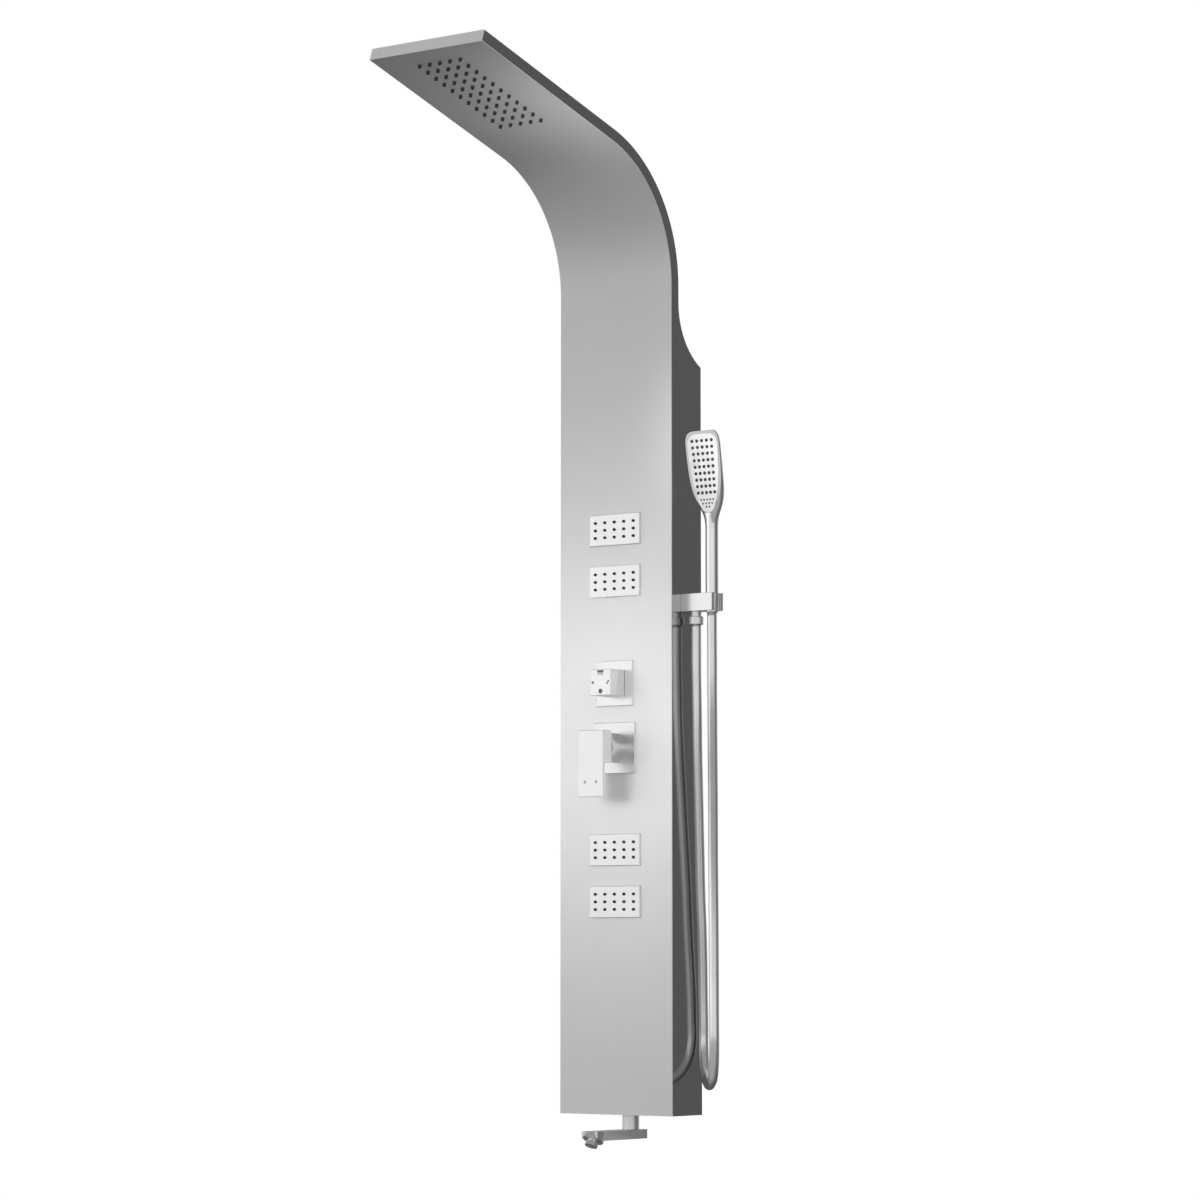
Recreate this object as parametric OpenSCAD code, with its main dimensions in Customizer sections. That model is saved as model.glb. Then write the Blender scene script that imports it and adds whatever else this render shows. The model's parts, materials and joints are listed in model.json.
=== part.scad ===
// Wall-hung shower panel column with overhead rain field, body jets, mixer, hand shower and bath spout.
// Millimetres. +X is the panel's left-to-right seen from the front, +Y goes back to the wall, +Z is up.
// The origin is on the wall plane, midway between the two holes of the upper wall bracket.
// Modules are drawn in panel coordinates: y = 0 at the front face, z = 0 at the bottom edge.

/* [Column body] */
// Width of the column
panel_w = 200; // [190:1:260]
// Depth of the box behind the front face
panel_d = 70; // [69:0.5:80]
// Thickness of the stainless sheet
sheet_t = 1.2; // [0.8:0.1:1.5]
// Width of the returns along the rear edges
return_w = 12; // [6:1:16]
// Height where the neck starts to curve back to the wall
curve_z = 1150; // [1140:1:1170]
// Radius of the rear curve between neck and box
curve_r = 100; // [90:1:110]

/* [Neck and arm] */
// Thickness of the neck and of the arm
arm_t = 17.5; // [17:0.5:22]
// Height where the front sheet starts to bend forward
bend_z = 1174; // [1174:1:1220]
// Inner radius of the bend
bend_r = 195; // [150:1:240]
// Turn of the bend in degrees
bend_turn = 72.2; // [60:0.1:80]
// Length of the straight arm
arm_l = 302; // [295:1:340]

/* [Wall fixing] */
// Height of the upper fixing holes
hang_z = 1000; // [960:1:1005]
// Height of the lower fixing holes
low_z = 60; // [50:1:80]
// Distance between the two holes of a bracket
fix_pitch = 80; // [60:1:90]
// Diameter of a fixing hole
fix_hole_d = 6.5; // [5:0.1:9]
// Width of a wall bracket
bracket_w = 120; // [105:1:150]
// Thickness of a wall bracket
bracket_t = 2.5; // [1.5:0.1:3]
// Thickness of a hanging rail
rail_t = 1.5; // [1:0.1:2]
// Free height between a rail and its bracket's hook
hook_play = 2.5; // [1:0.5:4]

/* [Rain field] */
// Nozzle columns across the arm
rain_cols = 5; // [3:1:5]
// Nozzle rows along the arm
rain_rows = 11; // [5:1:11]
// Distance between columns
rain_pitch_x = 18.1; // [12:0.1:19]
// Distance between rows
rain_pitch_y = 18.4; // [12:0.1:19]
// Distance from the arm's tip to the first row
rain_edge = 33.5; // [25:0.5:45]
// Diameter of a rain nozzle
rain_nozzle_d = 4.6; // [3:0.1:6]
// Height of the rain chamber
chamber_h = 12.5; // [9:0.1:12.8]
// Width of the rain chamber
chamber_w = 100; // [96:1:150]
// Wall of the rain chamber
chamber_wall = 1; // [0.6:0.1:1.5]

/* [Body jets] */
// Heights of the four jets, from the top
jet_z = [830, 756, 373.5, 300];
// Width of a jet plate
jet_w = 90; // [88:1:110]
// Height of a jet plate
jet_h = 45; // [42:1:55]
// Nozzle columns of a jet
jet_cols = 5; // [3:1:5]
// Nozzle rows of a jet
jet_rows = 3; // [2:1:3]
// Diameter of a jet nozzle
jet_nozzle_d = 4; // [3:0.1:4.6]
// Depth of a jet housing behind the sheet
jet_depth = 18; // [14:0.5:22]
// Rim of the cover plate beyond the housing, at each side
jet_rim_x = 6; // [5.5:0.1:7]
// Rim of the cover plate beyond the housing, above and below
jet_rim_z = 5.5; // [5:0.1:7]
// Distance of the jet's inlet from the column's middle
inlet_x = 20; // [18:0.5:22]

/* [Cover plates] */
// Thickness of the square and jet cover plates
plate_t = 3; // [2.5:0.1:4]
// Bevel of the cover plates
plate_bevel = 0.8; // [0.3:0.1:1.5]
// Depth of the pocket behind a control's plate
pocket_t = 2; // [1.5:0.1:2]

/* [Diverter] */
// Height of the diverter
div_z = 610; // [600:1:625]
// Width of the diverter's plate
div_plate_w = 65; // [60:0.5:75]
// Width of the diverter's square knob
knob_w = 37; // [30:0.5:44]
// Length of the knob
knob_l = 31.7; // [26:0.1:40]
// Radius of the diverter's spindle
spindle_r = 4; // [3:0.1:5]
// Half width of the diverter's brass block
div_half_w = 28; // [26:0.5:32]
// Half height of the diverter's brass block
div_half_h = 22; // [20:0.5:24]
// Radius of the diverter's cartridge
div_cart_r = 14; // [11:0.1:15]

/* [Mixer] */
// Height of the mixer
mix_z = 518; // [505:1:530]
// Width of the mixer's plate
mix_plate_w = 73; // [66:0.5:80]
// Outer radius of the shroud
shroud_r = 21; // [20.5:0.1:23]
// Wall of the shroud
shroud_wall = 1.5; // [1:0.1:1.5]
// Distance of the lever's pivot in front of the front face
pivot_y = 27; // [26:0.5:30]
// Radius of the mixer's cartridge
mix_cart_r = 17.5; // [15:0.1:17.7]
// Radius of the lever's ball
ball_r = 5; // [4:0.1:6]
// Radius of the lever's stem
stem_r = 4; // [3:0.1:4.5]
// Width of the lever and of its block
lever_w = 45; // [44:0.5:50]
// Height of the lever's block
lever_block_h = 46; // [44:0.5:50]
// Depth of the lever's block
lever_block_t = 15; // [14:0.5:24]
// Length of the lever plate
lever_l = 94; // [70:1:115]
// Thickness of the lever plate
lever_t = 4; // [3:0.1:7]
// Radius of the brass barrel
barrel_r = 22; // [21:0.5:25]
// Distance between the hot and cold inlets
inlet_pitch = 120; // [110:1:130]
// Outer radius of an inlet's thread
thread_r = 10.48; // [8:0.01:12]
// Length of an inlet's thread
thread_l = 14; // [8:0.5:20]

/* [Hand shower] */
// Height of the top of the fork bracket
fork_z = 734; // [725:1:745]
// Distance of the bracket's middle behind the front face
fork_y = 35; // [30:0.5:38]
// Length of the fork bracket
fork_l = 54.5; // [52:0.5:57]
// Depth of the fork bracket, front to back
fork_t = 27; // [25:0.5:30]
// Height of the fork bracket
fork_h = 25; // [20:0.5:30]
// Distance of the hand shower's axis from the side plate
fork_reach = 45; // [43:0.5:47]
// Distance of the hose outlet from the side plate
outlet_reach = 17; // [15:0.5:18]
// Width of the fork's slot
slot_w = 15; // [14.6:0.1:16]
// Top radius of the cone nut
cone_r1 = 11.2; // [10:0.1:11.4]
// Bottom radius of the cone nut
cone_r2 = 9.4; // [8.5:0.1:9.6]
// Radius of the hand shower's handle
handle_r = 9; // [8.8:0.1:10]
// Radius of the thread under the handle
tail_r = 8.4; // [7:0.1:8.6]
// Diameter of the hose
hose_d = 14; // [12:0.5:14.5]
// Forward lean of the spray face in degrees
face_lean = 9; // [6:0.5:12]
// Diameter of a hand shower nozzle
spray_d = 3; // [2:0.1:3.6]

/* [Bath spout] */
// Distance of the spout's stem behind the front face
stem_y = 35; // [30:0.5:38]
// Radius of the spout's stem
spout_stem_r = 12; // [10:0.1:14]
// Length of the stem below the column
stem_l = 21.5; // [15:0.5:40]
// Radius of the stem's upper pin
pin_r = 8; // [6:0.1:9]
// Width of the spout bar
bar_w = 28; // [26:0.5:32]
// Thickness of the spout bar
bar_t = 13; // [12:0.1:16]
// Length of the bar in front of the stem's axis
bar_front = 95; // [80:1:140]
// Length of the bar behind the stem's axis
bar_rear = 20; // [13:0.5:24]
// Radius of the cup that holds the aerator
cup_r = 15; // [14.5:0.1:16]
// Forward tilt of the cup in degrees
cup_tilt = 28; // [20:1:32]
// Radius of the aerator's ball
aerator_ball_r = 8.3; // [7:0.1:8.4]

/* [Fits] */
// Radial running clearance of a turning shaft
run_gap = 0.05; // [0.02:0.01:0.1]
// Gap between curved faces that move past each other
free_gap = 0.3; // [0.2:0.05:0.4]
// Gap around a screw or a nozzle in its hole
hole_gap = 0.15; // [0.1:0.01:0.3]

/* [Hidden] */
$fn = 64;

steel = "lightgray";
dark_steel = "gray";
chrome = "gainsboro";
brass = "darkkhaki";
rubber = "dimgray";

// Half width of the column
half_w = panel_w / 2;
// Half width between the side plates
inner_w = half_w - sheet_t;
// Height where the rear curve reaches the wall plane
box_h = curve_z - sqrt(pow(curve_r, 2) - pow(arm_t + curve_r - panel_d, 2));
curve_turn = acos((arm_t + curve_r - panel_d) / curve_r);
// Size that cutting shapes overrun a face by
over = 1;
// Gap that keeps bonded faces on the sloping arm from cutting into each other
seat_gap = 0.02;

// Draws its children in the row's frame
module place() {
    translate([0, -panel_d, -hang_z]) children();
}

// Block between two corners
module block(x, y, z) {
    translate([x[0], y[0], z[0]]) cube([x[1] - x[0], y[1] - y[0], z[1] - z[0]]);
}

// Rod along X, Y or Z between two stations
module rod_x(r, x, y, z) {
    translate([x[0], y, z]) rotate([0, 90, 0]) cylinder(r = r, h = x[1] - x[0]);
}
module rod_y(r, x, y, z) {
    translate([x, y[0], z]) rotate([-90, 0, 0]) cylinder(r = r, h = y[1] - y[0]);
}
module rod_z(r, x, y, z) {
    translate([x, y, z[0]]) cylinder(r = r, h = z[1] - z[0]);
}
module cone_z(r1, r2, x, y, z) {
    translate([x, y, z[0]]) cylinder(r1 = r1, r2 = r2, h = z[1] - z[0]);
}

// Six-sided nut on a Z axis, r is across its corners
module hex_z(r, bore, z) {
    difference() {
        translate([0, 0, z[0]]) cylinder(r = r, h = z[1] - z[0], $fn = 6);
        rod_z(bore, 0, 0, [z[0] - over, z[1] + over]);
    }
}

// Side view of the sheets: points [y, z] at a depth n behind the front face
bend_steps = 24;
curve_steps = 16;
function bend_side(n) = [for (i = [0:bend_steps]) let (a = bend_turn * i / bend_steps)
    [(bend_r + n) * cos(a) - bend_r, bend_z + (bend_r + n) * sin(a)]];
function arm_side(n) = let (end = bend_side(n)[bend_steps], l = arm_l - sheet_t - seat_gap)
    concat(bend_side(n), [end + l * [-sin(bend_turn), cos(bend_turn)]]);
function curve_side(n) = [for (i = [0:curve_steps]) let (a = curve_turn * (1 - i / curve_steps), r = curve_r + arm_t - n)
    [arm_t + curve_r - r * cos(a), curve_z - r * sin(a)]];
function reversed(p) = [for (i = [len(p) - 1:-1:0]) p[i]];

// Flat shape in the side view, w wide and centred on x
module profile(points, x, w) {
    translate([x - w / 2, 0, 0]) rotate([90, 0, 90]) linear_extrude(w) polygon(points);
}

// Frame of the arm: x across, y back to the bend, z up through the arm from its underside
module on_arm() {
    translate([0, bend_r * (cos(bend_turn) - 1), bend_z + bend_r * sin(bend_turn)])
        rotate([bend_turn - 90, 0, 0]) children();
}

// Plate on the front face with bevelled front edges
module bevel_plate(w, h, t, b) {
    intersection() {
        translate([0, 0, -h / 2]) linear_extrude(h) polygon([
            [-w / 2, 0], [w / 2, 0], [w / 2, b - t], [w / 2 - b, -t], [b - w / 2, -t], [-w / 2, b - t]
        ]);
        translate([-w / 2, 0, 0]) rotate([90, 0, 90]) linear_extrude(w) polygon([
            [0, -h / 2], [0, h / 2], [b - t, h / 2], [-t, h / 2 - b], [-t, b - h / 2], [b - t, -h / 2]
        ]);
    }
}

// Solid tube along a list of points, ref is a direction that the route never runs along
function unit(v) = v / norm(v);
function heading(p, i) = unit(p[min(i + 1, len(p) - 1)] - p[max(i - 1, 0)]);
function ring(c, t, ref, r, n) =
    let (u = unit(cross(ref, t)), v = cross(t, u))
    [for (k = [0:n - 1]) c + r * (cos(360 * k / n) * u + sin(360 * k / n) * v)];
module tube(p, r, n, ref) {
    m = len(p);
    points = [for (i = [0:m - 1]) each ring(p[i], heading(p, i), ref, r, n)];
    walls = [for (i = [0:m - 2], k = [0:n - 1]) let (a = i * n + k, b = i * n + (k + 1) % n)
        each [[a, a + n, b], [b, a + n, b + n]]];
    caps = [[for (k = [0:n - 1]) k], [for (k = [0:n - 1]) m * n - 1 - k]];
    polyhedron(points, concat(walls, caps));
}

// Sheet-metal body
rain_y0 = -arm_l + rain_edge;
function rain_places() = [for (i = [0:rain_cols - 1], j = [0:rain_rows - 1])
    [(i - (rain_cols - 1) / 2) * rain_pitch_x, rain_y0 + j * rain_pitch_y]];
jet_box_w = jet_w - 2 * jet_rim_x;
jet_box_h = jet_h - 2 * jet_rim_z;
jet_edge_x = 4.8;
jet_edge_z = 6.2;
jet_pitch_x = (jet_box_w - 2 * jet_edge_x) / (jet_cols - 1);
jet_pitch_z = (jet_box_h - 2 * jet_edge_z) / (jet_rows - 1);
jet_wall = 2;
mat_t = 1.6;
ear_t = 2.5;
ear_w = 8;
jet_screw_r = 1.45;
jet_screw_dx = jet_box_w / 2 + ear_w / 2 - 1;
jet_screw_dz = jet_box_h / 2 - 5;
collar_r = mix_cart_r + 1.7;
div_collar_r = div_cart_r + 3;
function jet_screw_places() = [for (i = [-1, 1], j = [-1, 1]) [i * jet_screw_dx, j * jet_screw_dz]];

module front_panel() {
    color(steel) place() difference() {
        profile(concat([[0, 0]], arm_side(0), reversed(arm_side(sheet_t)), [[sheet_t, 0]]), 0, panel_w);
        on_arm() for (q = rain_places())
            rod_z(rain_nozzle_d / 2 + hole_gap, q[0], q[1], [-over, sheet_t + over]);
        for (z = jet_z) {
            block([-jet_box_w / 2 - hole_gap, jet_box_w / 2 + hole_gap], [-over, sheet_t + over],
                [z - jet_box_h / 2 - hole_gap, z + jet_box_h / 2 + hole_gap]);
            for (q = jet_screw_places())
                rod_y(jet_screw_r + hole_gap, q[0], [-over, sheet_t + over], z + q[1]);
        }
        rod_y(div_collar_r + free_gap, 0, [-over, sheet_t + over], div_z);
        rod_y(collar_r + free_gap, 0, [-over, sheet_t + over], mix_z);
    }
}

upstand = 14;
side_return_z = [upstand, box_h - 14];
module side_plate(side) {
    color(dark_steel) place() {
        difference() {
            union() {
                profile(concat([[sheet_t, 0], [panel_d, 0]], curve_side(arm_t), arm_side(arm_t),
                    reversed(arm_side(sheet_t))), side * (half_w - sheet_t / 2), sheet_t);
                translate([side * (half_w - sheet_t / 2 - return_w / 2), 0, 0])
                    block([-return_w / 2, return_w / 2], [panel_d - sheet_t, panel_d], side_return_z);
            }
            if (side > 0)
                rod_x(nipple_r + hole_gap, [0, half_w + over], fork_y, nipple_z);
        }
    }
}
module side_plate_left() {
    side_plate(-1);
}
module side_plate_right() {
    side_plate(1);
}

module back_sheet() {
    w = 2 * inner_w;
    color(steel) place() {
        inner = arm_t - sheet_t;
        profile(concat(curve_side(arm_t), arm_side(arm_t), reversed(arm_side(inner)), reversed(curve_side(inner))), 0, w);
    }
}

module tip_cap() {
    color(steel) place() on_arm() block([-half_w, half_w], [-arm_l, -arm_l + sheet_t], [0, arm_t]);
}

module bottom_plate() {
    color(dark_steel) place() {
        difference() {
            block([-inner_w, inner_w], [sheet_t, panel_d], [0, sheet_t]);
            rod_z(pin_r + free_gap, 0, stem_y, [-over, sheet_t + over]);
        }
        block([-inner_w, inner_w], [panel_d - sheet_t, panel_d], [sheet_t, upstand]);
    }
}

// Hooked wall bracket and the rail that hangs on it
bracket_h = 40;
hook_l = 8;
hook_y = panel_d - 10;
lip_gap = 0.6;
module wall_bracket(z) {
    top = z + bracket_h / 2;
    color(dark_steel) place() difference() {
        union() {
            block([-bracket_w / 2, bracket_w / 2], [panel_d - bracket_t, panel_d], [z - bracket_h / 2, top]);
            block([-bracket_w / 2, bracket_w / 2], [hook_y, panel_d], [top - bracket_t, top]);
            block([-bracket_w / 2, bracket_w / 2], [hook_y, hook_y + bracket_t], [top - bracket_t, top + hook_l]);
        }
        for (side = [-1, 1])
            rod_y(fix_hole_d / 2, side * fix_pitch / 2, [hook_y, panel_d + over], z);
    }
}
module wall_bracket_upper() {
    wall_bracket(hang_z);
}
module wall_bracket_lower() {
    wall_bracket(low_z);
}

web_y = hook_y - 10;
module hanging_rails() {
    lip = hook_y + bracket_t + lip_gap;
    color(dark_steel) place() for (z = [hang_z, low_z]) {
        seat = z + bracket_h / 2;
        top = seat + hook_l + hook_play;
        block([-inner_w, inner_w], [web_y, web_y + rail_t], [seat - hook_l, top + rail_t]);
        block([-inner_w, inner_w], [web_y, lip + rail_t], [top, top + rail_t]);
        block([-bracket_w / 2, bracket_w / 2], [lip, lip + rail_t], [seat, top + rail_t]);
    }
}

// Rain head in the arm
chamber_y0 = rain_y0 - 12;
chamber_y1 = rain_y0 + (rain_rows - 1) * rain_pitch_y + 12;
chamber_mid = sheet_t + chamber_h / 2 + 0.3;
port_l = 12;
riser_r = 5;
module rain_chamber() {
    x = chamber_w / 2;
    color("silver") place() on_arm() difference() {
        union() {
            block([-x, x], [chamber_y0, chamber_y1], [sheet_t + seat_gap, sheet_t + chamber_h]);
            translate([0, chamber_y1, chamber_mid]) rod_y(riser_r, 0, [0, port_l], 0);
        }
        block([chamber_wall - x, x - chamber_wall], [chamber_y0 + chamber_wall, chamber_y1 - chamber_wall],
            [sheet_t - over, sheet_t + chamber_h - chamber_wall]);
        translate([0, chamber_y1, chamber_mid])
            rod_y(riser_r - chamber_wall, 0, [-chamber_wall - over, port_l + over], 0);
    }
}

nozzle_proud = 1.5;
jet_bore_r = 0.9;
module rain_nozzle_mat() {
    x = chamber_w / 2 - chamber_wall - free_gap;
    y = chamber_wall + free_gap;
    color(rubber) place() on_arm() difference() {
        union() {
            block([-x, x], [chamber_y0 + y, chamber_y1 - y], [sheet_t + seat_gap, sheet_t + mat_t]);
            for (q = rain_places())
                rod_z(rain_nozzle_d / 2, q[0], q[1], [-nozzle_proud, sheet_t + mat_t]);
        }
        for (q = rain_places())
            rod_z(jet_bore_r, q[0], q[1], [-nozzle_proud - over, sheet_t + mat_t + over]);
    }
}

// Riser from the diverter through the neck to the rain chamber
feed_y = 30;
port_r = 6;
riser_z0 = div_z + div_half_h + 7;
riser_steps = 10;
riser_straight = 40;
sway_steps = 6;
sway_low = 130;
sway_high = 12;
function ease(s) = s * s * (3 - 2 * s);
function sway(i) = [0, feed_y + (chamber_mid - feed_y) * ease(i / sway_steps),
    curve_z - sway_low + (sway_low - sway_high) * i / sway_steps];
function around_bend(i) = let (r = bend_r + chamber_mid, a = bend_turn * i / riser_steps)
    [0, r * cos(a) - bend_r, bend_z + r * sin(a)];
function along_arm(y) = around_bend(riser_steps) - y * [0, sin(bend_turn), -cos(bend_turn)];
riser_route = concat(
    [[0, feed_y, riser_z0], [0, feed_y, riser_z0 + riser_straight]],
    [for (i = [0:sway_steps]) sway(i)],
    [for (i = [0:riser_steps]) around_bend(i)],
    [along_arm(-(chamber_y1 + port_l) / 2), along_arm(-(chamber_y1 + port_l))]
);
module riser_tube() {
    color("whitesmoke") place() tube(riser_route, riser_r, 12, [1, 0, 0]);
}

// Body jets
function jet_places() = [for (i = [0:jet_cols - 1], j = [0:jet_rows - 1])
    [(i - (jet_cols - 1) / 2) * jet_pitch_x, (j - (jet_rows - 1) / 2) * jet_pitch_z]];
jet_screw_l = 2;
module jet_plate(i) {
    color(chrome) place() translate([0, 0, jet_z[i]]) difference() {
        bevel_plate(jet_w, jet_h, plate_t, plate_bevel);
        for (q = jet_places())
            rod_y(jet_nozzle_d / 2 + hole_gap, q[0], [-plate_t - over, over], q[1]);
        for (q = jet_screw_places())
            rod_y(jet_screw_r + run_gap, q[0], [-jet_screw_l, over], q[1]);
    }
}

module jet_nozzles() {
    x = jet_box_w / 2;
    z = jet_box_h / 2;
    color(rubber) place() for (height = jet_z) translate([0, 0, height]) difference() {
        union() {
            block([-x, x], [0, mat_t], [-z, z]);
            for (q = jet_places())
                rod_y(jet_nozzle_d / 2, q[0], [-plate_t - nozzle_proud, mat_t], q[1]);
        }
        for (q = jet_places())
            rod_y(jet_bore_r, q[0], [-plate_t - nozzle_proud - over, mat_t + over], q[1]);
    }
}

stub_r = 5;
stub_l = 6;
module jet_housings() {
    x = jet_box_w / 2;
    z = jet_box_h / 2;
    color("ivory") place() for (height = jet_z) translate([0, 0, height]) difference() {
        union() {
            block([-x, x], [mat_t, jet_depth], [-z, z]);
            block([-x - ear_w, x + ear_w], [sheet_t, sheet_t + ear_t], [-z, z]);
            rod_y(stub_r, -inlet_x, [jet_depth, jet_depth + stub_l], 0);
        }
        block([-x, x], [0, mat_t], [-z, z]);
        block([jet_wall - x, x - jet_wall], [0, jet_depth - jet_wall], [jet_wall - z, z - jet_wall]);
        rod_y(stub_r - jet_wall, -inlet_x, [0, jet_depth + stub_l + over], 0);
        for (q = jet_screw_places())
            rod_y(jet_screw_r + hole_gap, q[0], [0, sheet_t + ear_t + over], q[1]);
    }
}

module jet_screws() {
    seat = sheet_t + ear_t;
    color(chrome) place() for (z = jet_z, q = jet_screw_places()) translate([0, 0, z]) {
        rod_y(jet_screw_r, q[0], [0.2 - jet_screw_l, seat], q[1]);
        rod_y(2 * jet_screw_r - 0.1, q[0], [seat, seat + 2], q[1]);
    }
}

manifold_y = 57;
manifold_r = 6;
module jet_manifold() {
    color("whitesmoke") place() {
        rod_z(manifold_r, -inlet_x, manifold_y, [min(jet_z) - 8, max(jet_z) + 8]);
        for (z = jet_z)
            rod_y(stub_r, -inlet_x, [jet_depth + stub_l, manifold_y], z);
        rod_y(stub_r, -inlet_x, [div_back + stub_l, manifold_y], div_z);
    }
}

// Square plate of a control with its pocket for the locknut
module control_plate(z, w, hole_r, nut_r) {
    color(chrome) place() translate([0, 0, z]) difference() {
        bevel_plate(w, w, plate_t, plate_bevel);
        rod_y(hole_r, 0, [-plate_t - over, over], 0);
        rod_y(nut_r + free_gap, 0, [-pocket_t, over], 0);
    }
}
module locknut(z, r, bore) {
    color(brass) place() difference() {
        rod_y(r, 0, [0.1 - pocket_t, 0], z);
        rod_y(bore, 0, [-pocket_t - over, over], z);
    }
}

// Diverter
div_back = 44;
div_nut_r = div_collar_r + 4;
div_cart_back = 26;
module diverter_plate() {
    control_plate(div_z, div_plate_w, div_collar_r + free_gap, div_nut_r);
}
module diverter_locknut() {
    locknut(div_z, div_nut_r, div_collar_r + run_gap);
}
module diverter_body() {
    color(brass) place() difference() {
        union() {
            block([-div_half_w, div_half_w], [sheet_t, div_back], [div_z - div_half_h, div_z + div_half_h]);
            rod_y(div_collar_r, 0, [-plate_t, sheet_t + over], div_z);
            for (side = [-1, 1])
                rod_y(port_r, side * inlet_x, [div_back - over, div_back + stub_l], div_z);
            rod_z(port_r, 0, feed_y, [div_z + div_half_h - over, riser_z0]);
            rod_x(port_r, [div_half_w - over, div_half_w + stub_l], feed_y, div_z);
        }
        rod_y(div_cart_r + run_gap, 0, [-plate_t - over, div_cart_back], div_z);
    }
}
spindle_y0 = 8;
module diverter_cartridge() {
    color("whitesmoke") place() difference() {
        rod_y(div_cart_r, 0, [-plate_t, div_cart_back], div_z);
        rod_y(spindle_r + run_gap, 0, [-plate_t - over, spindle_y0 + 0.3], div_z);
    }
}
knob_back = plate_t + 0.5;
knob_front = knob_back + knob_l;
spindle_front = knob_front - 7;
module diverter_spindle() {
    color(brass) place() rod_y(spindle_r, 0, [-spindle_front, spindle_y0], div_z);
}
mark_t = 0.4;
grub_r = 2;
grub_l = 8;
module marks(gap) {
    depth = [-knob_front - gap, mark_t - knob_front];
    for (side = [-1, 1])
        rod_y(1 + gap, 0.35 * knob_w + side, depth, 1.2 * side);
    rod_y(1.6 + gap, -0.37 * knob_w, depth, 0);
    rod_y(3.4 + gap, 0, depth, -0.34 * knob_w);
    block([-5 - gap, 5 + gap], depth, [0.38 * knob_w - gap, 0.38 * knob_w + 3 + gap]);
}
module diverter_knob() {
    h = knob_w / 2;
    color(chrome) place() translate([0, 0, div_z]) difference() {
        translate([0, -knob_back, 0]) bevel_plate(knob_w, knob_w, knob_l, 0.6);
        rod_y(spindle_r + run_gap, 0, [-spindle_front - 0.3, over], 0);
        rod_z(grub_r + run_gap, 0, -knob_back - knob_l / 2, [-h - over, 0]);
        marks(run_gap);
    }
}
module knob_grub_screw() {
    color(dark_steel) place()
        rod_z(grub_r, 0, -knob_back - knob_l / 2, [div_z - spindle_r - 0.1 - grub_l, div_z - spindle_r - 0.1]);
}
module knob_marks() {
    color(rubber) place() translate([0, 0, div_z]) marks(0);
}

// Mixer
barrel_y = 46;
cart_back = 24;
collar_l = 8;
cart_nut_t = 4;
mix_nut_r = collar_r + 4.5;
arm_y = 34;
arm_r = 9;
supply_r = 7;
boss_l = 3;
module mixer_plate() {
    control_plate(mix_z, mix_plate_w, collar_r + free_gap, mix_nut_r);
}
module mixer_locknut() {
    locknut(mix_z, mix_nut_r, collar_r + run_gap);
}
inlet_top = mix_z - barrel_r;
module mixer_body() {
    x = inlet_pitch / 2;
    color(brass) place() difference() {
        union() {
            rod_y(barrel_r, 0, [sheet_t, barrel_y], mix_z);
            rod_y(collar_r, 0, [-collar_l, sheet_t + over], mix_z);
            rod_z(arm_r, 0, arm_y, [mix_z, mix_z + barrel_r + boss_l]);
            rod_x(arm_r, [-x, x], arm_y, mix_z);
            for (side = [-1, 1]) {
                translate([side * x, arm_y, mix_z]) sphere(r = arm_r);
                rod_z(arm_r, side * x, arm_y, [inlet_top, mix_z]);
                rod_z(thread_r + 1.5, side * x, arm_y, [inlet_top - 4, inlet_top]);
                rod_z(thread_r, side * x, arm_y, [inlet_top - 4 - thread_l, inlet_top - 3]);
            }
        }
        rod_y(mix_cart_r + run_gap, 0, [-collar_l - over, cart_back], mix_z);
        for (side = [-1, 1])
            rod_z(arm_r - 2, side * x, arm_y, [inlet_top - 5 - thread_l, mix_z]);
    }
}
module mixer_cartridge() {
    color("whitesmoke") place() rod_y(mix_cart_r, 0, [-collar_l, cart_back], mix_z);
}
turner_r = 13;
module cartridge_nut() {
    color(brass) place() difference() {
        rod_y(collar_r, 0, [-collar_l - cart_nut_t, -collar_l], mix_z);
        rod_y(turner_r + free_gap, 0, [-collar_l - cart_nut_t - over, over], mix_z);
    }
}
module on_pivot() {
    translate([0, -pivot_y, mix_z]) children();
}
dome_r = shroud_r - shroud_wall;
mouth_r = 14.5;
mouth_y = sqrt(pow(shroud_r, 2) - pow(mouth_r, 2));
module mixer_shroud() {
    color(chrome) place() on_pivot() rotate([90, 0, 0]) difference() {
        union() {
            translate([0, 0, plate_t - pivot_y]) cylinder(r = shroud_r, h = pivot_y - plate_t);
            sphere(r = shroud_r);
        }
        translate([0, 0, plate_t - pivot_y - over]) cylinder(r = dome_r, h = pivot_y - plate_t + over);
        sphere(r = dome_r);
        translate([0, 0, -2 * pivot_y + plate_t]) cylinder(r = 2 * shroud_r, h = pivot_y);
        cylinder(r = mouth_r, h = 2 * shroud_r);
    }
}
module cartridge_turner() {
    seat = -collar_l;
    color("whitesmoke") place() difference() {
        union() {
            rod_y(turner_r, 0, [seat - 6, seat], mix_z);
            rod_y(8, 0, [3 - pivot_y, seat - 5], mix_z);
        }
        on_pivot() sphere(r = ball_r + free_gap);
    }
}
block_gap = 12;
block_back = pivot_y + block_gap;
block_front = block_back + lever_block_t;
stem_front = block_front - 1.5;
module lever_stem() {
    color(dark_steel) place() {
        on_pivot() sphere(r = ball_r);
        rod_y(stem_r, 0, [-stem_front, -pivot_y], mix_z);
    }
}
lever_grub_r = 1.4;
grub_y = stem_front - lever_grub_r - 0.7;
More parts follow.
